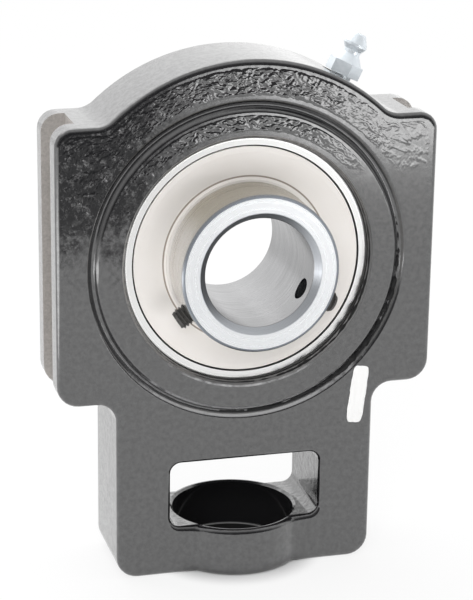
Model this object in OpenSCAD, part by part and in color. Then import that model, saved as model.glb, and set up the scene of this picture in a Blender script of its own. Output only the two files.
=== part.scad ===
// Take-up bearing unit: a cast housing that slides between two guide rails and holds a
// self-aligning insert ball bearing. The shaft runs along Y with the set screw side towards -Y,
// Z points up and the origin is the middle of the bearing. The adjusting end stands on z = -end_z.

/* [Housing] */
// Width over the guide flanges
body_width = 106; // [100:0.5:114]
// Thickness between the front and back faces
body_thickness = 27; // [25:0.5:32]
// Metal between the face groove and the top of the arch
arch_rim = 12.3; // [9:0.1:16]
// Height of the upper shoulders above the shaft
shoulder_z = 39; // [36:0.5:42]
// Depth of the lower steps below the shaft
step_z = 38; // [35:0.5:42]
// Radius of the upper flange corners
upper_corner_r = 5; // [3:0.5:6]
// Radius of the lower flange corners
lower_corner_r = 6; // [3:0.5:7]
// Radius of the hollow between a shoulder and the arch
shoulder_fillet_r = 7; // [4:0.5:8]
// Radius of the hollow between a step and the neck
neck_fillet_r = 5.5; // [3:0.5:7]
// Rounding of the cast edges
edge_round = 1.5; // [0.8:0.1:2]

/* [Guide grooves] */
// Width of the groove that runs on a rail
guide_width = 13; // [11:0.5:15]
// Depth of the groove
guide_depth = 6.5; // [4:0.5:7.5]

/* [Adjusting end] */
// Width of the slot for the nut
slot_width = 43; // [40:0.5:46]
// Height of the slot
slot_height = 19; // [16:0.5:24]
// Depth of the slot's upper edge below the shaft
slot_top_z = 57; // [53:0.5:62]
// Corner radius of the slot
slot_corner_r = 3; // [2:0.5:5]
// Metal beside the slot
neck_wall = 15.25; // [13:0.25:17]
// Metal below the slot
end_wall = 14; // [11:0.5:18]
// Radius of the lower neck corners
neck_corner_r = 6; // [4:0.5:8]
// Diameter of the adjusting screw hole
screw_hole_d = 34.7; // [33:0.1:37]
// Metal round the adjusting screw hole
boss_wall = 2.15; // [1.8:0.05:4]
// Radius of the hollow between the boss and the face
boss_fillet_r = 6; // [3:0.5:8]
// Chamfer of the adjusting screw hole
screw_hole_chamfer = 0.7; // [0.3:0.1:1]

/* [Face groove] */
// Width of the plain band between the seat's mouth and the face groove
hub_band = 6.05; // [4:0.05:8]
// Half width of the groove at the face
face_groove_half = 1.9; // [1.2:0.1:2.4]
// Depth of the groove
face_groove_depth = 1.3; // [0.8:0.1:2]

/* [Bearing] */
// Shaft bore
bore_d = 30.16; // [28:0.01:34]
// Chamfer of the bore
bore_chamfer = 1.7; // [0.8:0.1:2.2]
// Length of the inner ring in front of the bearing's middle
inner_front = 25.4; // [23:0.1:28]
// Length of the inner ring behind the bearing's middle
inner_rear = 17.5; // [15:0.1:20]
// Wall of the inner ring at its ends
inner_end_wall = 6.67; // [6:0.01:7.5]
// Wall of the inner ring under the balls
raceway_wall = 6.11; // [5.4:0.01:7]
// Wall of the outer ring over the balls
outer_wall = 3.69; // [3.2:0.01:5]
// Ball diameter
ball_d = 11.112; // [10:0.001:12]
// Height of the raceway shoulders over and under the pitch circle
shoulder_gap = 3.3; // [2.8:0.05:4]
// Rise from the pitch circle to the outer ring's end bore
end_bore_rise = 5.25; // [4.6:0.05:5.6]
// Diameter of the grease hole in the outer ring
grease_hole_d = 1.6; // [1:0.1:1.8]

/* [Cage, seals and flingers] */
// Sheet thickness of the cage
cage_sheet = 0.8; // [0.6:0.05:1]
// Width of the cage ribbon
cage_band = 4; // [3:0.1:4.6]
// Diameter of a cage rivet
rivet_d = 1.6; // [1:0.1:2]
// Diameter of a rivet head
rivet_head_d = 2.8; // [2.2:0.1:3.4]
// Height of a rivet head
rivet_head_h = 0.5; // [0.3:0.1:0.8]
// Thickness of a seal at its bead and lip
seal_w = 1.6; // [1.3:0.05:1.9]
// Thickness of a seal's web
seal_web = 0.9; // [0.6:0.05:1.2]
// Sheet thickness of a flinger
flinger_sheet = 0.7; // [0.5:0.05:0.9]
// Depth of the dish in a flinger
flinger_dish = 0.7; // [0.4:0.05:0.9]
// Length of a flinger's collar along the inner ring
flinger_collar = 1; // [0.6:0.1:1.6]
// Depth of a flinger's rim below the outer ring's side
rim_recess = 0.3; // [0.1:0.05:0.5]

/* [Set screws] */
// Set screw diameter
set_screw_d = 6; // [5:0.1:7]
// Set screw length
set_screw_length = 8; // [7:0.1:9]
// Width across flats of the hex socket
socket_af = 3; // [2.5:0.1:3.4]
// Depth of the hex socket
socket_depth = 3.2; // [2:0.1:4]
// Distance from the inner ring's front to the set screws
set_screw_inset = 7; // [5.5:0.1:9]
// Turn of the right set screw about the shaft
set_screw_angle = 332.5; // [325:0.5:335]
// Height of the left set screw over the inner ring
left_screw_out = 3.6; // [2:0.1:5]
// Height of the right set screw over the inner ring
right_screw_out = 3.6; // [2:0.1:5]

/* [Grease nipple] */
// Turn of the nipple's seat about the shaft
nipple_angle = 58.5; // [56:0.5:66]
// Turn of the nipple's own axis about the shaft
nipple_axis_angle = 64.5; // [58:0.5:70]
// Height of the hex over its spot face
nipple_stand = 1.2; // [0.4:0.1:2]
// Thread diameter
nipple_thread_d = 6; // [5:0.1:7]
// Length of the threaded shank
nipple_shank = 5.5; // [4:0.1:7]
// Width across flats of the hex
nipple_af = 8.6; // [8:0.1:10]
// Height of the hex
nipple_hex_h = 3.6; // [2.5:0.1:5]
// Height of the tapered stem over the hex
nipple_stem_h = 3.6; // [3:0.1:5]
// Diameter of the stem's waist
nipple_waist_d = 4.9; // [4.6:0.1:5.4]
// Diameter of the coupling head
nipple_head_d = 6.6; // [6:0.1:7]
// Height of the coupling head
nipple_head_h = 4.8; // [4:0.1:6]
// Diameter of the tip
nipple_tip_d = 3.8; // [3.2:0.1:4.4]
// Diameter of the check ball
check_ball_d = 2.4; // [2:0.1:2.6]
// Diameter of the check ball's seat
valve_seat_d = 1.7; // [1.4:0.05:1.9]
// Wire diameter of the valve spring
spring_wire_d = 0.3; // [0.2:0.02:0.36]
// Turns of the valve spring
spring_turns = 6; // [4:1:9]

/* [Fits] */
// Play between the outer ring and its ball shaped seat
seat_play = 0.04; // [0.02:0.01:0.08]
// Play between the balls and the raceways
race_play = 0.03; // [0.01:0.01:0.05]
// Play of a ball in its cage pocket
pocket_play = 0.15; // [0.1:0.01:0.25]
// Gap between the cage and a seal
seal_gap = 0.6; // [0.3:0.05:0.7]
// Gap between a seal's lip and the inner ring
lip_play = 0.1; // [0.05:0.01:0.2]
// Gap between a seal and a flinger
flinger_gap = 0.55; // [0.4:0.05:0.7]
// Gap between a flinger's rim and the outer ring
rim_gap = 0.5; // [0.4:0.05:0.7]
// Play of pressed or riveted pieces
press_play = 0.02; // [0.01:0.01:0.04]
// Play of threaded pieces in their holes
thread_play = 0.05; // [0.03:0.01:0.08]
// Play of the loading notches
notch_play = 0.15; // [0.1:0.05:0.4]

/* [Hidden] */
$fn = 96;
// Overlap of a cut past the face it leaves by
cut = 1;
// Flats that make up a rounded cast edge
edge_steps = 4;
ball_count = 9;
screw_spacing = 120;
groove_conformity = 0.52;
half_t = body_thickness / 2;
bore_r = bore_d / 2;
ball_r = ball_d / 2;
pitch_r = bore_r + raceway_wall + ball_r;
sphere_r = pitch_r + ball_r + outer_wall;
race_r = groove_conformity * ball_d;
inner_end_r = bore_r + inner_end_wall;
inner_shoulder_r = pitch_r - shoulder_gap;
outer_shoulder_r = pitch_r + shoulder_gap;
end_bore_r = pitch_r + end_bore_rise;
// Stack of pieces along the shaft, from the bearing's middle outwards
cage_half = ball_r + pocket_play + cage_sheet;
seal_in = cage_half + seal_gap;
seal_out = seal_in + seal_w;
flinger_in = seal_out + flinger_gap;
flinger_out = flinger_in + flinger_sheet;
ring_half = flinger_out + flinger_dish + rim_recess;
flinger_rim_r = end_bore_r - rim_gap;
grease_z = (seal_in + sqrt(race_r ^ 2 - (race_r - ball_r + shoulder_gap) ^ 2)) / 2;
// Seat, face groove and arch, from the bearing outwards
seat_r = sphere_r + seat_play;
mouth_lip = 0.9;
mouth_z = ring_half + mouth_lip;
mouth_r = sqrt(seat_r ^ 2 - mouth_z ^ 2);
mouth_slope = 0.7;
mouth_face_r = mouth_r + mouth_slope * (half_t - mouth_z);
face_groove_r = mouth_face_r + hub_band + face_groove_half;
arch_r = face_groove_r + arch_rim;
neck_half = slot_width / 2 + neck_wall;
slot_bottom_z = slot_top_z + slot_height;
end_z = slot_bottom_z + end_wall;
screw_hole_r = screw_hole_d / 2;
boss_r = screw_hole_r + boss_wall;
// Step from the end face and the slot's floor back to the ends of the boss
boss_setback = 0.15;
set_screw_y = inner_front - set_screw_inset;
// Spot face of the nipple, and heights over it
spot_depth = 0.6;
spot_margin = 0.6;
spot_r = arch_r - spot_depth;
spot_d = nipple_af / cos(30) + 2 * spot_margin;
nipple_lean = nipple_axis_angle - nipple_angle;
nipple_hex_z = nipple_stand + nipple_hex_h;
nipple_waist_z = nipple_hex_z + nipple_stem_h;
nipple_tip_z = nipple_waist_z + nipple_head_h;
valve_wall = 0.5;
valve_play = 0.1;
valve_r = check_ball_d / 2 + valve_play;
check_ball_z = nipple_tip_z - valve_wall - sqrt((check_ball_d / 2) ^ 2 - (valve_seat_d / 2) ^ 2);
spring_bottom_z = nipple_stand + nipple_hex_h / 2;
spring_top_z = check_ball_z - check_ball_d / 2;

// The bearing's own frame: Z along the shaft towards the set screw side, Y up
module shaft_frame() rotate([90, 0, 0]) children();

// A frame on a spoke of the bearing: Z outwards along the spoke, origin at the given radius
module spoke_frame(angle, radius, along = 0)
    shaft_frame() rotate(angle) translate([radius, 0, along]) rotate([0, 90, 0]) children();

// The nipple's frame: origin on its spot face, Z outwards along its axis, which leans from the spoke
module nipple_frame() shaft_frame() rotate(nipple_angle) translate([spot_r, 0, 0])
    rotate([0, 90, nipple_lean]) children();

module rear() mirror([0, 0, 1]) children();

// One arc of an outline: centre, radius, first and last angle, 1 for bulging or -1 for hollow
function arc(centre, radius, from, to, bulge, steps) = [centre, radius, from, to, bulge, steps];

function arc_points(a, inset) = [for (i = [0 : a[5]])
    let (angle = a[2] + (a[3] - a[2]) * i / a[5])
    a[0] + (a[1] - a[4] * inset) * [cos(angle), sin(angle)]];

// The same arcs run backwards on the other side of the line x = 0
function mirrored(arcs) = [for (i = [len(arcs) - 1 : -1 : 0]) let (a = arcs[i])
    arc([-a[0].x, a[0].y], a[1], 180 - a[3], 180 - a[2], a[4], a[5])];

function outline(arcs, inset) = [for (a = arcs) each arc_points(a, inset)];

// Height over the face and inset of ring i of a rounded cast edge; the last ring runs on past the face
function edge_point(i) = let (angle = 90 * i / edge_steps)
    edge_round * [sin(angle) - 1, 1 - cos(angle)];
function edge_ring(i) = i < edge_steps ? edge_point(i) : 2 * edge_point(i) - edge_point(i - 1);

// Rings from below the back face to above the front face: 1 rounds a body's edges, -1 a hole's lips
function face_rings(bulge) = concat(
    [for (i = [edge_steps : -1 : 0]) [-half_t - edge_ring(i)[0], bulge * edge_ring(i)[1]]],
    [for (i = [0 : edge_steps]) [half_t + edge_ring(i)[0], bulge * edge_ring(i)[1]]]);

// A solid through rings of one outline, each with its own height and inset
module loft(arcs, rings) {
    count = len(outline(arcs, 0));
    last = (len(rings) - 1) * count;
    points = [for (ring = rings) each [for (p = outline(arcs, ring[1])) [p.x, p.y, ring[0]]]];
    sides = [for (k = [0 : len(rings) - 2], i = [0 : count - 1]) let (j = (i + 1) % count)
        [k * count + i, (k + 1) * count + i, (k + 1) * count + j, k * count + j]];
    bottom = [for (i = [0 : count - 1]) i];
    top = [for (i = [count - 1 : -1 : 0]) last + i];
    polyhedron(points = points, faces = concat([bottom], sides, [top]), convexity = 8);
}

// Right half of the body's outline, from the neck's foot up to the arch
shoulder_blend_x = sqrt((arch_r + shoulder_fillet_r) ^ 2 - (shoulder_z + shoulder_fillet_r) ^ 2);
shoulder_blend_angle = atan2(shoulder_z + shoulder_fillet_r, shoulder_blend_x);
body_half = [
    arc([neck_half - neck_corner_r, -end_z + neck_corner_r], neck_corner_r, -90, 0, 1, 7),
    arc([neck_half + neck_fillet_r, -step_z - neck_fillet_r], neck_fillet_r, 180, 90, -1, 7),
    arc([body_width / 2 - lower_corner_r, -step_z + lower_corner_r], lower_corner_r, -90, 0, 1, 7),
    arc([body_width / 2 - upper_corner_r, shoulder_z - upper_corner_r], upper_corner_r, 0, 90, 1, 7),
    arc([shoulder_blend_x, shoulder_z + shoulder_fillet_r], shoulder_fillet_r,
        270, 180 + shoulder_blend_angle, -1, 6)];
arch_arc = arc([0, 0], arch_r, shoulder_blend_angle, 180 - shoulder_blend_angle, 1, 44);
body_arcs = concat(body_half, [arch_arc], mirrored(body_half));

// Outline of the slot, seen from the front
slot_half = [
    arc([slot_width / 2 - slot_corner_r, slot_corner_r - slot_bottom_z], slot_corner_r, -90, 0, 1, 6),
    arc([slot_width / 2 - slot_corner_r, -slot_top_z - slot_corner_r], slot_corner_r, 0, 90, 1, 6)];
slot_arcs = concat(slot_half, mirrored(slot_half));

// Round barrel about the adjusting screw hole, with its edges rounded like the other cast edges
module boss_barrel() {
    height = end_wall - 2 * boss_setback;
    translate([0, 0, boss_setback - end_z]) rotate_extrude() {
        square([boss_r - edge_round, height]);
        translate([0, edge_round]) square([boss_r, height - 2 * edge_round]);
        for (z = [edge_round, height - edge_round]) translate([boss_r - edge_round, z]) circle(edge_round);
    }
}

// Half section of the hollow beside the barrel: it flares out at both ends to round the edges there
module hollow_section(height) {
    square([boss_fillet_r, height]);
    for (end = [0, height - edge_round]) difference() {
        translate([0, end]) square([boss_fillet_r + edge_round, edge_round]);
        for (z = [edge_round, height - edge_round])
            translate([boss_fillet_r + edge_round, z]) circle(edge_round);
    }
}

// Webs that blend the barrel into one face of the neck, sunk a little in both
module boss_web() {
    sink = 0.1;
    lift = 2 * boss_setback;
    height = end_wall - 2 * lift;
    face = half_t - sink;
    reach = boss_r - sink;
    blend_x = sqrt((reach + boss_fillet_r) ^ 2 - (face + boss_fillet_r) ^ 2);
    touch_x = blend_x * reach / (reach + boss_fillet_r);
    touch_y = sqrt(reach ^ 2 - touch_x ^ 2);
    translate([0, 0, lift - end_z]) difference() {
        linear_extrude(height) polygon([[-blend_x, 0], [blend_x, 0], [blend_x, face], [touch_x, touch_y],
            [0, face / 2], [-touch_x, touch_y], [-blend_x, face]]);
        for (side = [-1, 1]) translate([side * blend_x, face + boss_fillet_r]) rotate_extrude()
            hollow_section(height);
    }
}

// The body with its rounded edges, cut flat at both faces, and the slot through it
module plate() shaft_frame() difference() {
    intersection() {
        loft(body_arcs, face_rings(1));
        cube([2 * end_z + cut, 2 * end_z + cut, body_thickness], center = true);
    }
    loft(slot_arcs, face_rings(-1));
}

module screw_hole_cut() {
    chamfer_r = screw_hole_r + screw_hole_chamfer;
    translate([0, 0, -end_z - cut]) cylinder(h = end_wall + 2 * cut, r = screw_hole_r);
    translate([0, 0, -slot_bottom_z - screw_hole_chamfer])
        cylinder(h = screw_hole_chamfer + cut, r1 = screw_hole_r, r2 = chamfer_r + cut);
    translate([0, 0, -end_z - cut])
        cylinder(h = screw_hole_chamfer + cut, r1 = chamfer_r + cut, r2 = screw_hole_r);
}

module guide_cut()
    translate([body_width / 2 - guide_depth, -guide_width / 2, -end_z])
        cube([2 * guide_depth, guide_width, end_z + shoulder_z + cut]);

// A flared mouth on both faces lets the ball shaped seat open outwards
module seat_mouth() {
    foot = 2;
    translate([0, 0, mouth_z - foot]) cylinder(
        h = half_t + cut - mouth_z + foot,
        r1 = mouth_r - mouth_slope * foot,
        r2 = mouth_face_r + mouth_slope * cut);
}

// Round groove in the face, with a cosine section that has soft lips and a round bottom
module face_groove_cut() {
    steps = 12;
    section = [for (i = [0 : steps]) let (u = 2 * i / steps - 1)
        [face_groove_r + u * face_groove_half, half_t - face_groove_depth * (1 + cos(180 * u)) / 2]];
    rotate_extrude() polygon(concat(section, [
        [face_groove_r + face_groove_half, half_t + cut],
        [face_groove_r - face_groove_half, half_t + cut]]));
}

// The outer ring goes in edgewise through a pair of notches in the back
module loading_notches() {
    long = 2 * (sphere_r + notch_play);
    wide = 2 * (ring_half + notch_play);
    translate([-long / 2, -wide / 2, -half_t - cut]) cube([long, wide, half_t + cut]);
}

// Grease runs from the nipple down a slanted hole to a groove round the seat
module grease_ways() {
    groove_r = 2;
    groove_depth = 1;
    way_d = 2.5;
    way_end = spot_r * cos(nipple_lean) - sqrt(seat_r ^ 2 - (spot_r * sin(nipple_lean)) ^ 2);
    way_run = way_end - nipple_shank;
    shaft_frame() translate([0, 0, -grease_z]) rotate_extrude()
        translate([sqrt(seat_r ^ 2 - grease_z ^ 2) + groove_depth - groove_r, 0]) circle(groove_r);
    nipple_frame() {
        cylinder(h = spot_depth + 2 * cut, d = spot_d);
        translate([0, 0, -nipple_shank - cut]) cylinder(h = nipple_shank + 2 * cut, d = nipple_thread_d);
        translate([0, 0, -nipple_shank]) rotate([0, atan2(-grease_z, way_run) + 180, 0])
            cylinder(h = norm([way_run, grease_z]), d = way_d);
    }
}

module housing() color("#2c2e31") difference() {
    union() {
        plate();
        boss_barrel();
        boss_web();
        mirror([0, 1, 0]) boss_web();
    }
    screw_hole_cut();
    guide_cut();
    mirror([1, 0, 0]) guide_cut();
    shaft_frame() {
        sphere(seat_r);
        seat_mouth();
        rear() seat_mouth();
        face_groove_cut();
        loading_notches();
    }
    grease_ways();
}

module outer_ring() color("#d4d6d9") shaft_frame() difference() {
    intersection() {
        sphere(sphere_r);
        translate([0, 0, -ring_half]) cylinder(h = 2 * ring_half, r = sphere_r + cut);
    }
    translate([0, 0, -ring_half - cut]) cylinder(h = 2 * (ring_half + cut), r = outer_shoulder_r);
    translate([0, 0, seal_in]) cylinder(h = ring_half, r = end_bore_r);
    rear() translate([0, 0, seal_in]) cylinder(h = ring_half, r = end_bore_r);
    rotate_extrude() translate([pitch_r + ball_r + race_play - race_r, 0]) circle(race_r);
    rotate(nipple_angle) translate([0, 0, -grease_z]) rotate([0, 90, 0])
        cylinder(h = 2 * sphere_r, d = grease_hole_d);
}

// Half section of the inner ring, from the bore outwards
module inner_ring_section() {
    edge = 0.5;
    step = flinger_in - press_play;
    difference() {
        polygon([
            [bore_r, bore_chamfer - inner_rear], [bore_r + bore_chamfer, -inner_rear],
            [inner_end_r - edge, -inner_rear], [inner_end_r, edge - inner_rear],
            [inner_end_r, -step], [inner_shoulder_r, -step],
            [inner_shoulder_r, step], [inner_end_r, step],
            [inner_end_r, inner_front - edge], [inner_end_r - edge, inner_front],
            [bore_r + bore_chamfer, inner_front], [bore_r, inner_front - bore_chamfer]]);
        translate([pitch_r - ball_r - race_play + race_r, 0]) circle(race_r);
    }
}

module inner_ring() color("#dfe2e6") difference() {
    shaft_frame() rotate_extrude() inner_ring_section();
    for (angle = [set_screw_angle, set_screw_angle - screw_spacing])
        spoke_frame(angle, 0, set_screw_y) cylinder(h = 2 * inner_end_r, d = set_screw_d);
}

function ball_angle(i) = 90 + (i - 1) * 360 / ball_count;

module ball_places() for (i = [1 : ball_count]) rotate(ball_angle(i)) translate([pitch_r, 0, 0]) children();

module rivet_places() rotate(180 / ball_count) ball_places() children();

module ball(i) color("#c9ccd0") shaft_frame() rotate(ball_angle(i)) translate([pitch_r, 0, 0])
    sphere(ball_r);

// One pressed half of the ribbon cage: flats between the balls and a cup over each ball
module cage_shell() {
    cup_r = ball_r + pocket_play;
    difference() {
        intersection() {
            union() {
                cylinder(h = press_play + cage_sheet, r = pitch_r + cage_band);
                ball_places() sphere(cup_r + cage_sheet);
            }
            translate([0, 0, press_play]) difference() {
                cylinder(h = cage_half, r = pitch_r + cage_band / 2);
                translate([0, 0, -cut]) cylinder(h = cage_half + 2 * cut, r = pitch_r - cage_band / 2);
            }
        }
        ball_places() sphere(cup_r);
        rivet_places() cylinder(h = 2 * cage_half, d = rivet_d + 2 * press_play, center = true);
    }
}

module cage_front() color("#b9a878") shaft_frame() cage_shell();

module cage_rear() color("#b9a878") shaft_frame() rear() cage_shell();

module cage_rivets() color("#a89868") shaft_frame() rivet_places() {
    head_z = cage_sheet + 2 * press_play;
    cylinder(h = 2 * head_z, d = rivet_d, center = true);
    for (side = [0, 1]) mirror([0, 0, side]) translate([0, 0, head_z])
        cylinder(h = rivet_head_h, d = rivet_head_d);
}

// Half section of a seal: a bead at the outer ring, a thin web and a lip on the inner ring
module seal_shell() {
    bead = 1.2;
    bead_foot = 1.9;
    lip = 1.4;
    lip_foot = 2.2;
    web_z = seal_in + seal_web;
    seal_outer_r = end_bore_r - press_play;
    lip_r = inner_shoulder_r + lip_play;
    rotate_extrude() polygon([
        [lip_r, web_z], [lip_r, seal_out], [lip_r + lip, seal_out], [lip_r + lip_foot, web_z],
        [seal_outer_r - bead_foot, web_z], [seal_outer_r - bead, seal_out], [seal_outer_r, seal_out],
        [seal_outer_r, seal_in + press_play], [lip_r + lip, seal_in + press_play]]);
}

module seal_front() color("#26272a") shaft_frame() seal_shell();

module seal_rear() color("#26272a") shaft_frame() rear() seal_shell();

// Half section of a flinger: flat rim, shallow dish and a collar pressed on the inner ring
module flinger_shell() {
    rim_flat = 1.6;
    foot_flat = 1.35;
    collar_foot = 1.8;
    collar_bend = 0.3;
    dish_r = flinger_rim_r - rim_flat;
    collar_r = inner_end_r + press_play;
    collar_top = flinger_out + flinger_collar;
    rim_in = flinger_in + flinger_dish;
    rotate_extrude() polygon([
        [collar_r, flinger_in], [inner_shoulder_r + foot_flat, flinger_in], [dish_r, rim_in],
        [flinger_rim_r, rim_in], [flinger_rim_r, rim_in + flinger_sheet], [dish_r, rim_in + flinger_sheet],
        [collar_r + collar_foot, flinger_out], [collar_r + flinger_sheet, flinger_out + collar_bend],
        [collar_r + flinger_sheet, collar_top], [collar_r, collar_top]]);
}

module flinger_front() color("#d9d2c8") shaft_frame() flinger_shell();

module flinger_rear() color("#d9d2c8") shaft_frame() rear() flinger_shell();

// Socket set screw with its head at the given height over the inner ring
module set_screw(angle, out) {
    screw_r = set_screw_d / 2 - thread_play;
    edge = 0.5;
    point_taper = 1;
    cup_depth = 1;
    spoke_frame(angle, inner_end_r + out, set_screw_y) difference() {
        rotate_extrude() polygon([
            [0, 0], [screw_r - edge, 0], [screw_r, -edge], [screw_r, point_taper - set_screw_length],
            [screw_r - point_taper, -set_screw_length], [0, cup_depth - set_screw_length]]);
        translate([0, 0, -socket_depth]) cylinder(h = socket_depth + cut, d = socket_af / cos(30), $fn = 6);
    }
}

module set_screw_left() color("#2a2b2d") set_screw(set_screw_angle - screw_spacing, left_screw_out);

module set_screw_right() color("#2a2b2d") set_screw(set_screw_angle, right_screw_out);

module grease_nipple() color("#cfd6dc") nipple_frame() difference() {
    union() {
        rotate_extrude() nipple_section();
        translate([0, 0, nipple_stand]) cylinder(h = nipple_hex_h, d = nipple_af / cos(30), $fn = 6);
    }
    translate([0, 0, spring_bottom_z])
        cylinder(h = nipple_tip_z - valve_wall - spring_bottom_z, r = valve_r);
    translate([0, 0, -nipple_shank - cut]) cylinder(h = 2 * nipple_tip_z, d = valve_seat_d);
}

// Half section of the nipple: shank, tapered stem, waist and coupling head
module nipple_section() {
    shank_edge = 0.6;
    waist_h = 1;
    head_cone_h = 1.3;
    head_land_h = 0.7;
    tip_edge = 0.3;
    shank_r = nipple_thread_d / 2 - thread_play;
    waist_r = nipple_waist_d / 2;
    head_r = nipple_head_d / 2;
    tip_r = nipple_tip_d / 2;
    land_z = nipple_waist_z + head_cone_h;
    polygon([
        [0, -nipple_shank], [shank_r - shank_edge, -nipple_shank], [shank_r, shank_edge - nipple_shank],
        [shank_r, spring_bottom_z], [nipple_af / 2, nipple_hex_z], [waist_r, nipple_waist_z - waist_h],
        [waist_r, nipple_waist_z], [head_r, land_z], [head_r, land_z + head_land_h],
        [tip_r, nipple_tip_z - tip_edge], [tip_r - tip_edge, nipple_tip_z], [0, nipple_tip_z]]);
}

module nipple_check_ball() color("#b8bcc2") nipple_frame() translate([0, 0, check_ball_z])
    sphere(check_ball_d / 2);

// Coil spring under the check ball: a ring of points carried along a helix
module nipple_spring() color("#9aa0a6") nipple_frame() {
    coil_play = 0.05;
    rings_per_turn = 14;
    sides = 6;
    wire_r = spring_wire_d / 2;
    coil_r = valve_r - wire_r - coil_play;
    rings = rings_per_turn * spring_turns;
    low = spring_bottom_z + wire_r + press_play;
    rise = spring_top_z - wire_r - press_play - low;
    points = [for (k = [0 : rings], s = [0 : sides - 1])
        let (turn = 360 * spring_turns * k / rings, around = 360 * s / sides)
        let (r = coil_r + wire_r * cos(around))
        [r * cos(turn), r * sin(turn), low + rise * k / rings + wire_r * sin(around)]];
    tube = [for (k = [0 : rings - 1], s = [0 : sides - 1]) let (t = (s + 1) % sides)
        [k * sides + s, k * sides + t, (k + 1) * sides + t, (k + 1) * sides + s]];
    first = [for (s = [sides - 1 : -1 : 0]) s];
    last = [for (s = [0 : sides - 1]) rings * sides + s];
    polyhedron(points = points, faces = concat([first], tube, [last]), convexity = 10);
}

housing();
outer_ring();
inner_ring();
for (i = [1 : ball_count]) ball(i);
cage_front();
cage_rear();
cage_rivets();
seal_front();
seal_rear();
flinger_front();
flinger_rear();
set_screw_left();
set_screw_right();
grease_nipple();
nipple_check_ball();
nipple_spring();
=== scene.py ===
"""Take-up bearing unit in a plain studio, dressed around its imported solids. Metres, with Z up."""

import math

import bpy
import numpy as np
from mathutils import Matrix, Vector


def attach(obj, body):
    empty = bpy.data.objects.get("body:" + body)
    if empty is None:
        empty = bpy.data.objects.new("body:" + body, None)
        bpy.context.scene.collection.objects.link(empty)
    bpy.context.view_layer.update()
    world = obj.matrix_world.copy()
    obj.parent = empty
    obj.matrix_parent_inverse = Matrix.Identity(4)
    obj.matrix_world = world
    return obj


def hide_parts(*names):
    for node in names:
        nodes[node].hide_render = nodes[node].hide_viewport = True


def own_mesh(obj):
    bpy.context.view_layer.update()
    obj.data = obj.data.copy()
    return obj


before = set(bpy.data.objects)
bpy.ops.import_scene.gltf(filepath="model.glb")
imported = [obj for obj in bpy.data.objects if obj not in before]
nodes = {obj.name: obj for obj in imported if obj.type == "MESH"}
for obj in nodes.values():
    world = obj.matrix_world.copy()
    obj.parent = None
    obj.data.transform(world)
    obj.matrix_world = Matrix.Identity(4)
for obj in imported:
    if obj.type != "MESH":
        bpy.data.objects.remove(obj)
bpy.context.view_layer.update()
MM = 0.001

# Housing: one iron casting with a nut slot and a round boss, dipped in black gloss enamel, with guide
# grooves planed bare afterwards. The enamel is dull and flecked to the upper left of the front, and
# painted highlights in lighter grey ring the seat's mouth and the groove's lips on the lower front.
FACE_Y = -13.5 * MM
FACE_PLAY = 0.1 * MM
GROOVE_FLOOR_X = 46.45 * MM
GROOVE_HALF = 6.58 * MM
MOUTH_R = 34.25 * MM
MOUTH_EDGE_R = 35.18 * MM
FACE_GROOVE_R = 43.13 * MM
FACE_GROOVE_DEPTH = 1.3 * MM
SLOT_TOP = -55 * MM
SLOT_FOOT = -78 * MM
SLOT_HALF = 21.8 * MM
SLOT_CORED_Y = (11 * MM, 13 * MM)
DULL_X = (-24 * MM, 12 * MM)
DULL_Z = (-22 * MM, 4 * MM)
GLINT_Z = (-26 * MM, -12 * MM)
GLINT_LIP_R = (35.4 * MM, 42.1 * MM, 44.25 * MM)
GLINT_LIP_HALF = (0.15 * MM, 0.5 * MM)
GLINT_MOUTH = 0.3
BLOT_REACH = 30 * MM
ENAMEL_BLACK = (0.011, 0.011, 0.012, 1)
GLINT_GREY = (0.30, 0.30, 0.305, 1)
BARE_IRON_DARK = (0.27, 0.254, 0.24, 1)
BARE_IRON_LIGHT = (0.64, 0.61, 0.585, 1)
SHARP_EDGE = math.radians(38)
WELD_REACH = 0.002 * MM
FROM_SHAFT = (1, 0, 1)


def add_piece(name, corners, faces, sharp=math.pi):
    """Puts a mesh into the scene as a piece, shaded smooth but for the edges that turn by more than sharp."""
    mesh = bpy.data.meshes.new(name)
    mesh.from_pydata(corners, [], faces)
    mesh.shade_smooth()
    mesh.set_sharp_from_angle(angle=sharp)
    piece = bpy.data.objects.new(name, mesh)
    bpy.context.scene.collection.objects.link(piece)
    return piece


def welded_copy(node, name):
    """Returns a copy of a node whose loose triangles share their corners: corners that agree within the
    weld's reach become one point, and triangles that lose a side by it are left out."""
    source = nodes[node].data
    corners = np.empty(len(source.vertices) * 3)
    source.vertices.foreach_get("co", corners)
    corners = corners.reshape(-1, 3)
    triangles = np.empty(len(source.polygons) * 3, int)
    source.polygons.foreach_get("vertices", triangles)
    cells = np.round(corners / WELD_REACH)
    _, first, place = np.unique(cells, axis=0, return_index=True, return_inverse=True)
    triangles = place.reshape(-1)[triangles].reshape(-1, 3)
    whole = np.all(triangles != np.roll(triangles, 1, axis=1), axis=1)
    piece = add_piece(name, corners[first], triangles[whole], SHARP_EDGE)
    even = piece.modifiers.new("even_faces", "WEIGHTED_NORMAL")
    even.keep_sharp = True
    return piece


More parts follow.
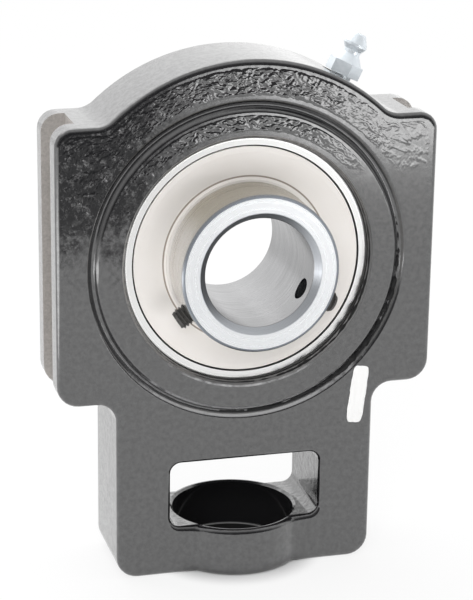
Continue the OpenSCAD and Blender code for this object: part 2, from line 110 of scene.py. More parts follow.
class Finish:
    """A procedural material under construction: its node tree, its shader and short ways to add nodes."""

    def __init__(self, name):
        self.material = bpy.data.materials.new(name)
        self.material.use_nodes = True
        self.tree = self.material.node_tree
        self.shader = self.tree.nodes["Principled BSDF"]
        self.place = self.add("ShaderNodeTexCoord").outputs["Object"]

    def add(self, kind, **settings):
        """Adds a node with the given settings."""
        node = self.tree.nodes.new(kind)
        for key, value in settings.items():
            setattr(node, key, value)
        return node

    def feed(self, socket, source):
        """Links an output to a socket, or sets the socket to a value."""
        if isinstance(source, bpy.types.NodeSocket):
            self.tree.links.new(source, socket)
        else:
            socket.default_value = source

    def set(self, **values):
        """Feeds the shader's sockets, named with underscores."""
        for key, value in values.items():
            self.feed(self.shader.inputs[key.replace("_", " ")], value)

    def noise(self, size, detail=2.0, rough=0.55, place=None):
        """Noise whose lumps are about size across."""
        node = self.add("ShaderNodeTexNoise")
        self.feed(node.inputs["Vector"], place or self.place)
        node.inputs["Scale"].default_value = 1 / size
        node.inputs["Detail"].default_value = detail
        node.inputs["Roughness"].default_value = rough
        return node.outputs["Fac"]

    def ramp(self, value, low, high, start=0.0, end=1.0):
        """Takes value from low..high to start..end along a smooth step."""
        node = self.add("ShaderNodeMapRange", interpolation_type="SMOOTHSTEP")
        self.feed(node.inputs["Value"], value)
        for key, number in (("From Min", low), ("From Max", high), ("To Min", start), ("To Max", end)):
            self.feed(node.inputs[key], number)
        return node.outputs["Result"]

    def math(self, operation, a, b=0):
        """One sum, product or the like of two values."""
        node = self.add("ShaderNodeMath", operation=operation)
        self.feed(node.inputs[0], a)
        self.feed(node.inputs[1], b)
        return node.outputs[0]

    def above(self, value, limit):
        """1 where the value is above the limit, and 0 elsewhere."""
        return self.math("GREATER_THAN", value, limit)

    def below(self, value, limit):
        """1 where the value is below the limit, and 0 elsewhere."""
        return self.math("LESS_THAN", value, limit)

    def unsigned(self, value):
        """The value without its sign."""
        return self.math("ABSOLUTE", value)

    def both(self, *masks):
        """The product of all the masks, which is 1 only where each of them is."""
        product = masks[0]
        for mask in masks[1:]:
            product = self.math("MULTIPLY", product, mask)
        return product

    def most(self, a, b):
        """The larger of two masks."""
        return self.math("MAXIMUM", a, b)

    def tint(self, value, dark, light):
        """Mixes two colours by a value from 0 to 1."""
        node = self.add("ShaderNodeMix", data_type="RGBA")
        self.feed(node.inputs["Factor"], value)
        self.feed(node.inputs["A"], dark)
        self.feed(node.inputs["B"], light)
        return node.outputs["Result"]

    def bump(self, height, depth, strength=1.0, under=None):
        """Raises the surface by depth where height is 1."""
        node = self.add("ShaderNodeBump")
        node.inputs["Distance"].default_value = depth
        self.feed(node.inputs["Strength"], strength)
        self.feed(node.inputs["Height"], height)
        if under:
            self.feed(node.inputs["Normal"], under)
        return node.outputs["Normal"]

    def axes(self):
        """The three coordinates of the piece's own frame."""
        node = self.add("ShaderNodeSeparateXYZ")
        self.feed(node.inputs[0], self.place)
        return node.outputs

    def distance(self, kept):
        """How far each point lies from the middle, counted along the kept axes only."""
        flat = self.add("ShaderNodeVectorMath", operation="MULTIPLY")
        self.feed(flat.inputs[0], self.place)
        flat.inputs[1].default_value = kept
        length = self.add("ShaderNodeVectorMath", operation="LENGTH")
        self.feed(length.inputs[0], flat.outputs[0])
        return length.outputs["Value"]


enamel = Finish("black_enamel")
side, depth, height = enamel.axes()
half_side = enamel.unsigned(side)
half_depth = enamel.unsigned(depth)
from_shaft = enamel.distance(FROM_SHAFT)
behind_face = enamel.below(half_depth, -FACE_Y - FACE_PLAY)
blot = enamel.both(enamel.noise(3 * MM, detail=3, rough=0.6), BLOT_REACH)

# Planed iron in the guide grooves
bare = enamel.both(enamel.above(half_side, GROOVE_FLOOR_X), enamel.below(half_depth, GROOVE_HALF))
planed = enamel.tint(enamel.noise(0.7 * MM, detail=3, rough=0.7), BARE_IRON_DARK, BARE_IRON_LIGHT)

# Dull enamel to the upper left of the front and in the seat
to_left = enamel.ramp(enamel.math("ADD", side, blot), *DULL_X, 1, 0)
to_top = enamel.ramp(enamel.math("SUBTRACT", height, blot), *DULL_Z)
on_front = enamel.below(depth, FACE_Y + FACE_PLAY)
fleck = enamel.ramp(enamel.noise(1.6 * MM, detail=5, rough=0.85), 0.47, 0.68, 1, 0)
in_seat = enamel.both(enamel.below(from_shaft, MOUTH_R), behind_face)
dull = enamel.most(enamel.both(to_left, to_top, on_front, fleck), in_seat)

# Painted highlights: lighter grey round the seat's mouth and, on the lower front, along the lips of the round
# groove
on_mouth = enamel.both(enamel.below(from_shaft, MOUTH_EDGE_R), enamel.above(from_shaft, MOUTH_R))
painted_glint = enamel.both(on_mouth, behind_face, GLINT_MOUTH)
low_front = enamel.both(enamel.ramp(enamel.math("ADD", height, blot), *GLINT_Z, 1, 0), enamel.below(depth, 0))
for lip in GLINT_LIP_R:
    off_lip = enamel.unsigned(enamel.math("SUBTRACT", from_shaft, lip))
    painted_glint = enamel.most(painted_glint, enamel.both(enamel.ramp(off_lip, *GLINT_LIP_HALF, 1, 0), low_front))

# Relief: the sand core's roughness in the slot, then the enamel's slow flow and its orange peel
in_slot = enamel.both(enamel.below(height, SLOT_TOP), enamel.above(height, SLOT_FOOT),
                      enamel.below(half_side, SLOT_HALF), enamel.ramp(half_depth, *SLOT_CORED_Y, 1, 0))
cored = enamel.bump(enamel.noise(2.2 * MM, detail=3, rough=0.6), 0.9 * MM, enamel.both(in_slot, 0.8))
flowed = enamel.bump(enamel.noise(9 * MM, detail=1), 0.25 * MM, 0.3, cored)
peeled = enamel.bump(enamel.noise(0.9 * MM, rough=0.5), 0.1 * MM, 0.24, flowed)

grain = enamel.ramp(enamel.noise(1.5 * MM, detail=4, rough=0.75), 0.36, 0.64, 0.8, 1)
# Base colour: black enamel with the painted highlights in grey, and planed iron in the guide grooves.
enamel.set(Base_Color=enamel.tint(bare, enamel.tint(painted_glint, ENAMEL_BLACK, GLINT_GREY), planed),
           Metallic=enamel.both(bare, 0.5), Roughness=enamel.ramp(bare, 0, 1, 0.24, 0.6),
           IOR=1.5, Specular_IOR_Level=0.22, Normal=peeled,
           Coat_Weight=enamel.both(grain, enamel.ramp(enamel.most(bare, dull), 0, 1, 1, 0.05)),
           Coat_Roughness=0.12, Coat_IOR=2.16)

housing = welded_copy("housing", "housing_casting")
housing.data.materials.append(enamel.material)
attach(housing, "housing")
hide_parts("housing")

# Cast skin: the thick enamel over the sand-cast front of the arch and of the hub. It gathers in
# rounded lumps with sharp creases between them, coarse at the top, and thins out to a smooth face.
LUMP_SIZE = 2.2 * MM
LUMP_RISE = 0.21 * MM
LUMP_BEND = 1.1 * MM
LUMP_BEND_SIZE = 4 * MM
LUMP_WANDER = 9 * MM
LUMP_WANDER_SIZE = 11 * MM
DRAWN_OUT_X = (8 * MM, 40 * MM)
GRITTY_X = (-5 * MM, 35 * MM)
LUMPY_Z = (2 * MM, 36 * MM)
SKIN_FADE = 1.7 * MM
SKIN_FADE_SHARE = 0.16
SKIN_DIP = 0.06 * MM
SKIN_UNDER = 0.4 * MM
SKIN_SHARP = math.radians(60)
EDGE_INSET = 1.5 * MM
ARCH_R = 55.43 * MM
FLANGE_X = 53 * MM
SHOULDER_Z = 39 * MM
SHOULDER_CORNER = 5 * MM
GROOVE_OUT_R = 45.2 * MM
HUB_OUT_R = 41.0 * MM
HUB_IN_R = 36.0 * MM
ARCH_TURN = np.radians(np.linspace(-22, 202, 820))
HUB_TURN = np.radians(np.linspace(-5, 185, 640))


def lattice_noise(x, z, size, seed):
    """Smooth noise from -1 to 1: random values on a square lattice, size apart, joined by the curve
    t t (3 - 2 t) in both directions."""
    cells = 256
    draw = np.random.default_rng(seed).uniform(-1, 1, (cells, cells))
    i = np.floor(x / size).astype(int)
    j = np.floor(z / size).astype(int)
    a = x / size - i
    b = z / size - j
    a = a * a * (3 - 2 * a)
    b = b * b * (3 - 2 * b)
    near = (1 - a) * draw[i % cells, j % cells] + a * draw[(i + 1) % cells, j % cells]
    far = (1 - a) * draw[i % cells, (j + 1) % cells] + a * draw[(i + 1) % cells, (j + 1) % cells]
    return (1 - b) * near + b * far


def smooth_step(value, low, high):
    """0 below low, 1 above high, and t t (3 - 2 t) between."""
    t = np.clip((value - low) / (high - low), 0, 1)
    return t * t * (3 - 2 * t)


def enamel_lumps(x, z):
    """Height of the lumps at a point of the front face: the sum of a coarse, a fine and a gritty layer on
    slanted, bent axes. Each layer is the absolute value of a noise, so its lumps are round and its
    creases sharp, but to the right the coarse layer is the plain noise, drawn out sideways, and the fine
    one fades. The grit grows to the left, and all of it fades out below the shoulders."""
    u = 0.8 * x - 0.6 * z + LUMP_BEND * lattice_noise(x, z, LUMP_BEND_SIZE, 1)
    v = 0.6 * x + 0.8 * z + LUMP_BEND * lattice_noise(x, z, LUMP_BEND_SIZE, 2)
    right = smooth_step(x, *DRAWN_OUT_X)
    left = smooth_step(-x, *GRITTY_X)
    creased = np.abs(lattice_noise(u, v, LUMP_SIZE, 3))
    drawn_out = 0.5 + 0.4 * lattice_noise(u, 2 * v, LUMP_SIZE, 7)
    coarse = (1 - right) * creased + right * drawn_out
    fine = (1 - right) * np.abs(lattice_noise(u, v, 0.45 * LUMP_SIZE, 4))
    grit = np.abs(lattice_noise(u, v, 0.26 * LUMP_SIZE, 5))
    layers = 0.25 + 0.62 * coarse + 0.45 * fine + (0.24 + 0.3 * left) * grit
    wander = LUMP_WANDER * lattice_noise(x, z, LUMP_WANDER_SIZE, 6)
    full = smooth_step(z + wander, *LUMPY_Z) * (1 - 0.45 * right)
    return LUMP_RISE * full * layers


def skin_outline(turn):
    """Distance from the shaft to the inset edge of the front face at a turn: the farther of the arch's
    circle and of the flange's rounded box, and never past the flange's sides."""
    across = np.abs(np.cos(turn))
    upward = np.sin(turn)
    half_x = FLANGE_X - EDGE_INSET
    half_z = SHOULDER_Z - EDGE_INSET
    nearly_none = 1e-9
    wall = half_x / np.maximum(across, nearly_none)
    roof = np.where(upward > 0, half_z / np.maximum(upward, nearly_none), np.inf)
    middle_x = FLANGE_X - SHOULDER_CORNER
    middle_z = SHOULDER_Z - SHOULDER_CORNER
    along = across * middle_x + upward * middle_z
    left_over = along ** 2 - middle_x ** 2 - middle_z ** 2 + (SHOULDER_CORNER - EDGE_INSET) ** 2
    corner = along + np.sqrt(np.maximum(left_over, 0))
    box = np.minimum(wall, roof)
    in_corner = (box * across > middle_x) & (box * upward > middle_z)
    return np.minimum(np.maximum(ARCH_R - EDGE_INSET, np.where(in_corner, corner, box)), wall)


def skin_shell(name, turn, inner, outer, rows):
    """A closed thin shell on the front face between two curves about the shaft, given as distances at
    each turn. Its top carries the lumps and dips under the face along its edges; its underside is flat."""
    share = np.linspace(0, 1, rows)[:, None]
    reach = inner + share * (outer - inner)
    x = reach * np.cos(turn)
    z = reach * np.sin(turn)
    margin = np.minimum(reach - inner, outer - reach)
    ends = np.minimum(turn - turn.min(), turn.max() - turn) * reach
    fade = np.minimum(SKIN_FADE_SHARE * (outer - inner), SKIN_FADE)
    edge = smooth_step(np.minimum(margin, ends) / fade, 0, 1)
    top = np.stack([x, FACE_Y + SKIN_DIP - edge * enamel_lumps(x, z), z], axis=-1)
    under = np.stack([x, np.full_like(x, FACE_Y + SKIN_UNDER), z], axis=-1)
    loop = np.concatenate([top, under[[-1, 0]]])
    index = np.arange(loop.shape[0] * loop.shape[1]).reshape(loop.shape[:2])
    after = np.roll(index, -1, axis=0)
    quads = np.stack([index[:, :-1], after[:, :-1], after[:, 1:], index[:, 1:]], axis=-1).reshape(-1, 4)
    caps = [index[::-1, 0].tolist(), index[:, -1].tolist()]
    shell = add_piece(name, loop.reshape(-1, 3), quads.tolist() + caps, SKIN_SHARP)
    shell.data.materials.append(enamel.material)
    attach(shell, "housing")


skin_shell("arch_cast_skin", ARCH_TURN, GROOVE_OUT_R, skin_outline(ARCH_TURN), 104)
skin_shell("hub_cast_skin", HUB_TURN, HUB_IN_R, HUB_OUT_R, 36)

# Enamel runs: thick dull beads where the dipped enamel gathered and broke off raggedly, along the
# seat's mouth and in the round groove of the face, fullest at the lower right.
RUN_TURN = math.radians(-42)
RUN_SPREAD = math.radians(50)
RUN_SUNK = 0.05 * MM
RUN_THIN = 0.06 * MM
MOUTH_RUN_R = 34.6 * MM
MOUTH_RUN_Y = FACE_Y + 0.7 * MM
GROOVE_RUN_Y = FACE_Y + FACE_GROOVE_DEPTH
CRUST_DARK = (0.004, 0.004, 0.004, 1)
CRUST_LIGHT = (0.016, 0.016, 0.017, 1)
dull_black = Finish("dull_black_run")
crust = dull_black.noise(0.5 * MM, detail=3, rough=0.7)
dull_black.set(Base_Color=dull_black.tint(crust, CRUST_DARK, CRUST_LIGHT), IOR=1.35,
               Roughness=dull_black.ramp(crust, 0.3, 0.7, 0.3, 0.6),
               Normal=dull_black.bump(crust, 0.2 * MM, 0.6))


def enamel_bead(name, distance, bed, wide, high, seed):
    """A closed ragged ring about the shaft, laid on a bed at y. Its section is an ellipse; half its
    width is wide times a noise along the ring, and both width and rise grow towards the lower right
    as a bell curve. Where it is thin it sinks under its bed."""
    turn = np.linspace(0, 2 * np.pi, 900, endpoint=False)[:, None]
    around = np.linspace(0, 2 * np.pi, 14, endpoint=False)[None, :]
    x = distance * np.cos(turn)
    z = distance * np.sin(turn)
    apart = np.angle(np.exp(1j * (turn - RUN_TURN)))
    bell = np.exp(-(apart / RUN_SPREAD) ** 2)
    coarse = lattice_noise(x, z, 1.6 * MM, seed)
    fine = lattice_noise(x, z, 0.8 * MM, seed + 1)
    ragged = 0.75 + 0.6 * coarse + 0.3 * fine
    half = wide * np.clip(ragged, 0.12, 1.4) * (0.2 + 0.8 * bell)
    shift = 0.5 * wide * bell * lattice_noise(x, z, 2.3 * MM, seed + 2)
    half_high = RUN_THIN + 0.75 * high * bell * np.clip(ragged, 0.2, 1.2)
    sunk = RUN_SUNK + 0.25 * high * (1 - bell)
    reach = distance + shift + half * np.cos(around)
    y = bed + sunk - half_high * np.sin(around)
    points = np.stack([reach * np.cos(turn), y, reach * np.sin(turn)], axis=-1)
    index = np.arange(points.shape[0] * points.shape[1]).reshape(points.shape[:2])
    ahead = np.roll(index, -1, axis=0)
    quads = np.stack([index, ahead, np.roll(ahead, -1, axis=1), np.roll(index, -1, axis=1)], axis=-1)
    bead = add_piece(name, points.reshape(-1, 3), quads.reshape(-1, 4))
    bead.data.materials.append(dull_black.material)
    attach(bead, "housing")


enamel_bead("mouth_enamel_run", MOUTH_RUN_R, MOUTH_RUN_Y, wide=0.5 * MM, high=0.4 * MM, seed=21)
enamel_bead("groove_enamel_run", FACE_GROOVE_R, GROOVE_RUN_Y, wide=1.0 * MM, high=1.2 * MM, seed=31)

# Outer ring: through-hardened steel with a ball-shaped outside that swivels in the seat. Its sides
# are turned bright and show fine rings of tool marks.
RING_STEEL = (0.88, 0.88, 0.87, 1)


def turned_marks(finish, size):
    """Noise that depends only on the distance from the shaft and along it, so it draws fine rings."""
    spot = finish.add("ShaderNodeCombineXYZ")
    finish.feed(spot.inputs["X"], finish.distance(FROM_SHAFT))
    finish.feed(spot.inputs["Y"], finish.axes()["Y"])
    return finish.noise(size, rough=0.6, place=spot.outputs[0])


bright_steel = Finish("bright_turned_steel")
marks = turned_marks(bright_steel, 0.35 * MM)
bright_steel.set(Base_Color=RING_STEEL, Metallic=1.0,
                 Roughness=bright_steel.ramp(marks, 0.3, 0.7, 0.26, 0.38),
                 Normal=bright_steel.bump(marks, 0.02 * MM, 0.4))
nodes["outer_ring"].material_slots[0].material = bright_steel.material

# Balls, cage and seals: polished balls in a pressed ribbon cage with riveted flats, closed in by two
# rubber seals. They sit behind the flingers and show only through the running gaps.
BALL_STEEL = (0.80, 0.81, 0.83, 1)
CAGE_SHEET = (0.55, 0.50, 0.38, 1)
SEAL_BLACK = (0.012, 0.012, 0.013, 1)
polished = Finish("polished_ball_steel")
polished.set(Base_Color=BALL_STEEL, Metallic=1.0,
             Roughness=polished.ramp(polished.noise(1.5 * MM), 0.3, 0.7, 0.06, 0.12))
pressed_sheet = Finish("pressed_cage_sheet")
pressed_sheet.set(Base_Color=CAGE_SHEET, Metallic=1.0,
                  Roughness=pressed_sheet.ramp(pressed_sheet.noise(1.0 * MM), 0.3, 0.7, 0.3, 0.45))
seal_rubber = Finish("black_seal_rubber")
seal_rubber.set(Base_Color=SEAL_BLACK,
                Roughness=seal_rubber.ramp(seal_rubber.noise(0.5 * MM), 0.3, 0.7, 0.5, 0.7))
for name, node in nodes.items():
    if name.startswith("ball_") or name == "nipple_check_ball":
        node.material_slots[0].material = polished.material
    elif name.startswith("cage_"):
        node.material_slots[0].material = pressed_sheet.material
    elif name.startswith("seal_"):
        node.material_slots[0].material = seal_rubber.material

# Flingers: thin steel sheet pressed to a shallow dish, with a warm satin wash, pushed on the inner
# ring so that they turn with the shaft and throw dirt off the seals.
FOLD_R = 23.2 * MM
FOLD_HALF = (0.1 * MM, 0.32 * MM)
SATIN_DARK = (0.87, 0.83, 0.79, 1)
SATIN_LIGHT = (0.90, 0.87, 0.84, 1)
FOLD_BROWN = (0.30, 0.25, 0.21, 1)
warm_satin = Finish("warm_satin_sheet")
satin_marks = turned_marks(warm_satin, 0.6 * MM)
satin_cream = warm_satin.tint(warm_satin.noise(9 * MM), SATIN_DARK, SATIN_LIGHT)
off_fold = warm_satin.unsigned(warm_satin.math("SUBTRACT", warm_satin.distance(FROM_SHAFT), FOLD_R))
in_fold = warm_satin.ramp(off_fold, *FOLD_HALF, 1, 0)
warm_satin.set(Base_Color=warm_satin.tint(in_fold, satin_cream, FOLD_BROWN), Metallic=0.35,
               Roughness=warm_satin.ramp(satin_marks, 0.3, 0.7, 0.40, 0.50),
               Normal=warm_satin.bump(satin_marks, 0.01 * MM, 0.3))
for name in ("flinger_front", "flinger_rear"):
    nodes[name].material_slots[0].material = warm_satin.material

# Inner ring: a long sleeve, ground on its outside and in the bore, with satin turned ends and two
# tapped holes for the set screws. Its bore is painted a darker grey as shade, its outside is painted
# darker and browner towards the top as shade, and the outside's front edge has a painted dark reflection.
BORE_R = 15.2 * MM
BORE_EDGE_R = 16.95 * MM
COLLAR_R = 20.9 * MM
SHADED_TOP_Z = (9 * MM, 17 * MM)
DARK_REFLECTION_Y = (-25.4 * MM, -23.9 * MM)
END_DARK = (0.76, 0.775, 0.795, 1)
END_LIGHT = (0.84, 0.85, 0.86, 1)
BORE_SHADE_DARK = (0.30, 0.30, 0.305, 1)
BORE_SHADE_LIGHT = (0.38, 0.38, 0.385, 1)
CHAMFER_GREY = (0.50, 0.52, 0.55, 1)
OUTSIDE_PLAIN = (0.80, 0.79, 0.77, 1)
OUTSIDE_TOP_SHADE = (0.56, 0.53, 0.46, 1)
OUTSIDE_DARK_REFLECTION = (0.24, 0.26, 0.29, 1)
ground_steel = Finish("ground_satin_steel")
ground_marks = turned_marks(ground_steel, 0.3 * MM)
smear = ground_steel.noise(7 * MM)
ring_reach = ground_steel.distance(FROM_SHAFT)
_, ring_y, ring_z = ground_steel.axes()
end_tint = ground_steel.tint(smear, END_DARK, END_LIGHT)
# Painted shade: the bore is a far darker grey than the ends.
bore_shade_tint = ground_steel.tint(ground_steel.above(ring_reach, BORE_R),
                              ground_steel.tint(smear, BORE_SHADE_DARK, BORE_SHADE_LIGHT), CHAMFER_GREY)
# Painted shade: the outside darkens to a brown grey towards the top.
top_shade_tint = ground_steel.tint(ground_steel.ramp(ring_z, *SHADED_TOP_Z), OUTSIDE_PLAIN, OUTSIDE_TOP_SHADE)
# Painted reflection: a dark bluish band along the front edge of the outside.
outside_tint = ground_steel.tint(ground_steel.ramp(ring_y, *DARK_REFLECTION_Y), OUTSIDE_DARK_REFLECTION, top_shade_tint)
within_tint = ground_steel.tint(ground_steel.below(ring_reach, BORE_EDGE_R), end_tint, bore_shade_tint)
ring_tint = ground_steel.tint(ground_steel.above(ring_reach, COLLAR_R), within_tint, outside_tint)
ground_steel.set(Base_Color=ring_tint, Metallic=1.0,
                 Roughness=ground_steel.ramp(ground_marks, 0.3, 0.7, 0.24, 0.36),
                 Normal=ground_steel.bump(ground_marks, 0.012 * MM, 0.35))
nodes["inner_ring"].material_slots[0].material = ground_steel.material

# Set screws: black-oxided alloy steel with a rolled thread, a hex socket and a cup point. They are
# screwed through the inner ring to bite on the shaft, and both stand proud of it here.
SCREW_R = 2.95 * MM
SCREW_LENGTH = 8 * MM
SCREW_TOP_R = SCREW_R - 0.65 * MM
THREAD_PITCH = 1.0 * MM
THREAD_DEPTH = 0.55 * MM
THREAD_FOOT = 0.6 * MM
THREAD_TOP = 0.35 * MM
THREAD_RUN_OUT = 0.5 * MM
SOCKET_AF = 3 * MM
SOCKET_DEPTH = 3.2 * MM
SOCKET_EDGE = 0.12 * MM
POINT_R = 1.95 * MM
CUP_DEPTH = 1 * MM
CUP_EDGE = 0.06 * MM
CUP_EDGE_SHARE = 0.94
INNER_END_R = 21.75 * MM
SCREW_OUT = 3.6 * MM
SCREW_Y = -18.4 * MM
SCREW_ANGLES = {"set_screw_left": 212.5, "set_screw_right": 332.5}
OXIDE_DARK = (0.03, 0.029, 0.028, 1)
OXIDE_LIGHT = (0.13, 0.124, 0.118, 1)


def closed_round(name, points):
    """A closed skin through rings of points, one ring for each row. The first and last rows have all
    their points in one place, and that place becomes a single point of the mesh."""
    rows, columns = points.shape[:2]
    inner = points[1:-1].reshape(-1, 3)
    corners = np.concatenate([inner, points[:1, 0], points[-1:, 0]])
    index = np.arange((rows - 2) * columns).reshape(-1, columns)
    beside = np.roll(index, -1, axis=1)
    quads = np.stack([index[:-1], beside[:-1], beside[1:], index[1:]], axis=-1).reshape(-1, 4)
    start = np.full(columns, len(inner))
    head = np.stack([start, beside[0], index[0]], axis=-1)
    tail = np.stack([start + 1, index[-1], beside[-1]], axis=-1)
    return add_piece(name, corners, quads.tolist() + head.tolist() + tail.tolist(), SHARP_EDGE)


def threaded_screw():
    """Rings of points over a set screw, from the cup point's middle up over the thread and down into
    the socket. The thread is a triangle wave of height / pitch - turn, with its crests and roots cut
    flat, and runs out at both ends. The socket's hexagon is half its width over the cosine of the
    turn from the middle of a flat."""
    columns = 72
    turn = np.linspace(0, 1, columns, endpoint=False)
    foot = THREAD_FOOT - SCREW_LENGTH
    shank = np.linspace(foot, -THREAD_TOP, 150)[:, None]
    wave = np.abs(2 * np.mod(shank / THREAD_PITCH - turn[None, :], 1) - 1)
    crest = np.clip(1.25 * wave - 0.12, 0, 1)
    run_out = np.clip(np.minimum(shank - foot, -THREAD_TOP - shank) / THREAD_RUN_OUT, 0, 1)
    thread = SCREW_R - THREAD_DEPTH * (1 - crest * run_out)
    flat = np.abs(np.mod(6 * turn, 1) - 0.5) * np.pi / 3
    hexagon = SOCKET_AF / 2 / np.cos(flat)
    ring = np.ones(columns)
    point = [(0 * ring, CUP_DEPTH - SCREW_LENGTH), (CUP_EDGE_SHARE * POINT_R * ring, CUP_EDGE - SCREW_LENGTH),
             (POINT_R * ring, -SCREW_LENGTH)]
    socket = [(SCREW_TOP_R * ring, 0), (hexagon + SOCKET_EDGE, 0), (hexagon, -SOCKET_EDGE),
              (hexagon, -SOCKET_DEPTH), (0 * ring, -SOCKET_DEPTH)]
    rows = point + list(zip(thread, shank[:, 0])) + socket
    radius = np.array([r for r, _ in rows])
    along = np.array([h * ring for _, h in rows])
    return np.stack([radius * np.cos(2 * np.pi * turn), radius * np.sin(2 * np.pi * turn), along], axis=-1)


def spoke_place(angle, radius, y):
    """The frame of a spoke of the bearing: Z outwards along the spoke, origin at that radius and y."""
    spoke = Vector((math.cos(math.radians(angle)), 0, math.sin(math.radians(angle))))
    front = Vector((0, -1, 0))
    turned = Matrix((front.cross(spoke), front, spoke)).transposed().to_4x4()
    return Matrix.Translation(spoke * radius + Vector((0, y, 0))) @ turned


black_oxide = Finish("black_oxide_steel")
oil_film = black_oxide.noise(0.9 * MM)
black_oxide.set(Base_Color=black_oxide.tint(oil_film, OXIDE_DARK, OXIDE_LIGHT), Metallic=0.4,
                Roughness=black_oxide.ramp(oil_film, 0.3, 0.7, 0.26, 0.42))
for name, angle in SCREW_ANGLES.items():
    screw = closed_round(name + "_threaded", threaded_screw())
    screw.data.transform(spoke_place(angle, INNER_END_R + SCREW_OUT, SCREW_Y))
    screw.data.materials.append(black_oxide.material)
    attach(screw, name)
    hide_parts(name)

# Grease nipple: bright zinc-plated steel, hexagon below and a waisted coupling head above, screwed
# into a spot face on the arch.
ZINC_DARK = (0.72, 0.79, 0.84, 1)
ZINC_LIGHT = (0.86, 0.90, 0.94, 1)
zinc = Finish("bright_zinc_plate")
bloom = zinc.noise(1.2 * MM)
zinc.set(Base_Color=zinc.tint(bloom, ZINC_DARK, ZINC_LIGHT), Metallic=0.5,
         Roughness=zinc.ramp(bloom, 0.3, 0.7, 0.28, 0.42),
         Normal=zinc.bump(zinc.noise(0.4 * MM), 0.02 * MM, 0.4))
nodes["grease_nipple"].material_slots[0].material = zinc.material

# Check spring: a small coil of drawn wire that holds the check ball up against the nipple's tip. It
# stands on a step inside the nipple and shortens as a grease gun pushes the ball in.
WIRE_STEEL = (0.6, 0.61, 0.62, 1)
drawn_wire = Finish("drawn_spring_wire")
drawn_wire.set(Base_Color=WIRE_STEEL, Metallic=1.0,
               Roughness=drawn_wire.ramp(drawn_wire.noise(0.2 * MM), 0.3, 0.7, 0.25, 0.4))
spring = welded_copy("nipple_spring", "check_spring_coil")
coil = np.empty(len(spring.data.vertices) * 3)
spring.data.vertices.foreach_get("co", coil)
spring.data.materials.append(drawn_wire.material)
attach(spring, "housing")
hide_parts("nipple_spring")
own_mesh(spring)

# Paint stroke: an inspector's dab of thick white paint, drawn down the front face by a brush with
# round ends.
STROKE_TOP = np.array([33.2, -32.2]) * MM
STROKE_FOOT = np.array([31.2, -49.1]) * MM
STROKE_HALF = 2.4 * MM
STROKE_RISE = 0.16 * MM
STROKE_DIP = 0.02 * MM
STROKE_UNDER = 0.3 * MM
PAINT_WHITE = (0.90, 0.90, 0.89, 1)


def brush_stroke():
    """A low mound on the front face, in rings about its middle. The outline is a rounded bar: a
    superellipse of power 6 with a ripple. The rise falls off as 1 - share^8 towards it, with fine
    ridges along the stroke, and the last ring closes under the face."""
    share = np.linspace(0, 1, 26)[:, None]
    turn = np.linspace(0, 2 * np.pi, 120, endpoint=False)[None, :]
    line = STROKE_TOP - STROKE_FOOT
    half_line = np.linalg.norm(line) / 2
    ahead = line / (2 * half_line)
    middle = (STROKE_TOP + STROKE_FOOT) / 2
    round_off = (np.abs(np.cos(turn)) ** 6 + np.abs(np.sin(turn)) ** 6) ** (-1 / 6)
    along = share * half_line * round_off * np.cos(turn)
    ripple = 1 + 0.02 * np.sin(9 * turn + 1) + 0.015 * np.sin(21 * turn)
    across = share * STROKE_HALF * round_off * np.sin(turn) * ripple
    ridges = 1 + 0.12 * np.sin(9 * across / STROKE_HALF + 60 * along)
    y = FACE_Y + STROKE_DIP - STROKE_RISE * (1 - share ** 8) * ridges
    x = middle[0] + ahead[0] * along + ahead[1] * across
    z = middle[1] + ahead[1] * along - ahead[0] * across
    top = np.stack([x, y, z], axis=-1)
    foot = np.broadcast_to([middle[0], FACE_Y + STROKE_UNDER, middle[1]], top[:1].shape)
    return np.concatenate([top, foot])


white_paint = Finish("white_marking_paint")
white_paint.set(Base_Color=PAINT_WHITE,
                Roughness=white_paint.ramp(white_paint.noise(0.6 * MM), 0.3, 0.7, 0.4, 0.6))
stroke = closed_round("paint_stroke", brush_stroke())
stroke.data.materials.append(white_paint.material)
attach(stroke, "housing")

# Floor: a white table that keeps the unit's shadow, with a painted shadow right under its boss. The
# sheet in front of it carries the table on towards the camera, but gloss does not mirror it.
FLOOR_Z = -90 * MM
FLOOR_REACH = 2.5
FLOOR_FRONT = -0.75
FOOT_R = 19 * MM
FOOT_INNER_R = FOOT_R - 2 * MM
FOOT_OUTER_R = FOOT_R + 8 * MM
NEAR_GLOW = 0.8
FAR_GLOW_R = (0.25, 0.9)
PAPER_WHITE = (0.9, 0.9, 0.9, 1)
PAPER_SHADED = (0.02, 0.02, 0.02, 1)
FROM_UPRIGHT = (1, 1, 0)


def flat_sheet(name, front, rear):
    """A flat sheet of the stage at the floor's height, from front to rear."""
    corners = [(-FLOOR_REACH, front, FLOOR_Z), (FLOOR_REACH, front, FLOOR_Z),
               (FLOOR_REACH, rear, FLOOR_Z), (-FLOOR_REACH, rear, FLOOR_Z)]
    sheet = add_piece(name, corners, [(0, 1, 2, 3)])
    sheet.data.materials.append(white_paper.material)
    return sheet


white_paper = Finish("white_paper")
foot_reach = white_paper.distance(FROM_UPRIGHT)
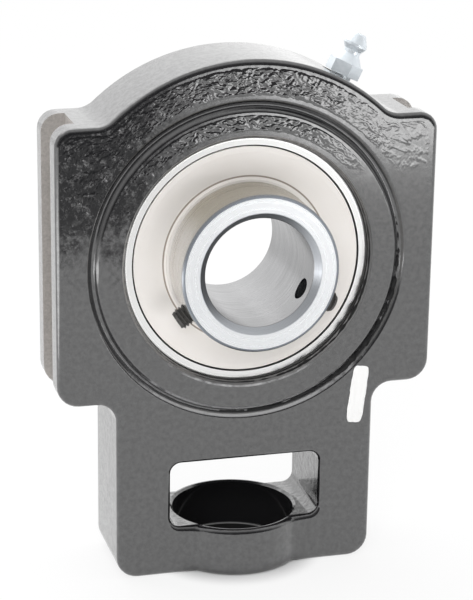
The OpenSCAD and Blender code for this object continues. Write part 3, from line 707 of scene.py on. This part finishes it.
# Painted shadow: the paper turns near black right under the boss.
under_foot = white_paper.ramp(foot_reach, FOOT_INNER_R, FOOT_R)
white_paper.set(Base_Color=white_paper.tint(under_foot, PAPER_SHADED, PAPER_WHITE), Roughness=0.9,
                Specular_IOR_Level=0.1)
path = white_paper.add("ShaderNodeLightPath").outputs
seen = white_paper.most(path["Is Camera Ray"], path["Is Glossy Ray"])
seen = white_paper.most(seen, path["Is Transmission Ray"])
near_glow = white_paper.ramp(foot_reach, FOOT_R, FOOT_OUTER_R, 0, NEAR_GLOW)
glow_share = white_paper.both(seen, white_paper.ramp(foot_reach, *FAR_GLOW_R, near_glow, 1))
blend = white_paper.add("ShaderNodeMixShader")
white_paper.feed(blend.inputs[0], glow_share)
white_paper.feed(blend.inputs[1], white_paper.shader.outputs[0])
white_paper.feed(blend.inputs[2], white_paper.add("ShaderNodeEmission").outputs[0])
white_paper.feed(white_paper.tree.nodes["Material Output"].inputs["Surface"], blend.outputs[0])
flat_sheet("floor", FLOOR_FRONT, FLOOR_REACH)
flat_sheet("front_floor", -FLOOR_REACH, FLOOR_FRONT).visible_glossy = False

# Light: a white tent behind and above and a dim room in front, a wide soft box overhead, a low one
# behind that picks out tops and sides, two cards on the floor for glints, and a fill in front.
TENT_LEAN = 0.2
TENT_RANGE = {"From Min": -0.72, "From Max": 0.05, "To Min": 0.08, "To Max": 1.0}
CARD_Z = FLOOR_Z + 2 * MM
world = bpy.data.worlds.new("studio")
bpy.context.scene.world = world
world.use_nodes = True
sky = world.node_tree
direction = sky.nodes.new("ShaderNodeTexCoord")
parts = sky.nodes.new("ShaderNodeSeparateXYZ")
sky.links.new(direction.outputs["Generated"], parts.inputs[0])
tilt = sky.nodes.new("ShaderNodeMath")
tilt.operation = "MULTIPLY_ADD"
sky.links.new(parts.outputs["Z"], tilt.inputs[0])
tilt.inputs[1].default_value = TENT_LEAN
sky.links.new(parts.outputs["Y"], tilt.inputs[2])
tent = sky.nodes.new("ShaderNodeMapRange")
tent.interpolation_type = "SMOOTHSTEP"
sky.links.new(tilt.outputs[0], tent.inputs["Value"])
for key, number in TENT_RANGE.items():
    tent.inputs[key].default_value = number
lit = sky.nodes.new("ShaderNodeMath")
lit.operation = "MAXIMUM"
sky.links.new(tent.outputs["Result"], lit.inputs[0])
sky.links.new(sky.nodes.new("ShaderNodeLightPath").outputs["Is Camera Ray"], lit.inputs[1])
sky.links.new(lit.outputs[0], sky.nodes["Background"].inputs["Strength"])
sky.nodes["Background"].inputs["Color"].default_value = (1, 1, 1, 1)


def soft_box(name, place, aim, width, height, watts):
    """A rectangular lamp at place that shines on aim, and that the camera does not see."""
    lamp = bpy.data.lights.new(name, "AREA")
    lamp.shape = "RECTANGLE"
    lamp.size = width
    lamp.size_y = height
    lamp.energy = watts
    box = bpy.data.objects.new(name, lamp)
    bpy.context.scene.collection.objects.link(box)
    box.location = place
    box.rotation_euler = (Vector(aim) - Vector(place)).to_track_quat("-Z", "Y").to_euler()
    box.visible_camera = False
    return box


soft_box("overhead_box", (-0.3, 0.75, 1.0), (0, 0.1, -0.05), width=1.2, height=0.8, watts=4)
soft_box("rear_box", (0.05, 1.2, 0.38), (0, 0, 0), width=2.2, height=0.8, watts=2)
soft_box("left_card", (-0.34, -0.12, CARD_Z), (-0.34, -0.12, 1), width=0.2, height=0.3, watts=0.45)
soft_box("right_card", (0.42, -0.72, CARD_Z), (0.42, -0.72, 1), width=0.5, height=0.5, watts=2.6)
front_fill = soft_box("front_fill", (-0.4, -1.2, 0.8), (0, 0, -0.03), width=0.8, height=0.8, watts=13)
front_fill.visible_glossy = False

# Camera: a long lens set a little to the left and above, turned as the photograph was.
CAMERA_AZIMUTH = math.radians(-15.832)
CAMERA_HEIGHT = math.radians(17.547)
CAMERA_ROLL = math.radians(0.82)
CAMERA_REACH = 585.788 * MM
CAMERA_AIM = Vector((0.358, 0, -14.89)) * MM
LENS_PIXELS = 2103.2
IMAGE_HEIGHT = 600
SENSOR = 36
back = Vector((math.sin(CAMERA_AZIMUTH) * math.cos(CAMERA_HEIGHT),
               -math.cos(CAMERA_AZIMUTH) * math.cos(CAMERA_HEIGHT), math.sin(CAMERA_HEIGHT)))
right = Vector((math.cos(CAMERA_AZIMUTH), math.sin(CAMERA_AZIMUTH), 0))
up = back.cross(right)
rolled_right = math.cos(CAMERA_ROLL) * right + math.sin(CAMERA_ROLL) * up
rolled_up = -math.sin(CAMERA_ROLL) * right + math.cos(CAMERA_ROLL) * up
lens = bpy.data.cameras.new("camera")
lens.sensor_width = SENSOR
lens.lens = LENS_PIXELS * SENSOR / IMAGE_HEIGHT
lens.clip_start = 0.01
lens.clip_end = 20
camera = bpy.data.objects.new("camera", lens)
bpy.context.scene.collection.objects.link(camera)
camera.matrix_world = (Matrix.Translation(CAMERA_AIM + back * CAMERA_REACH)
                       @ Matrix((rolled_right, rolled_up, back)).transposed().to_4x4())
bpy.context.scene.camera = camera
bpy.context.scene.view_settings.view_transform = "Standard"
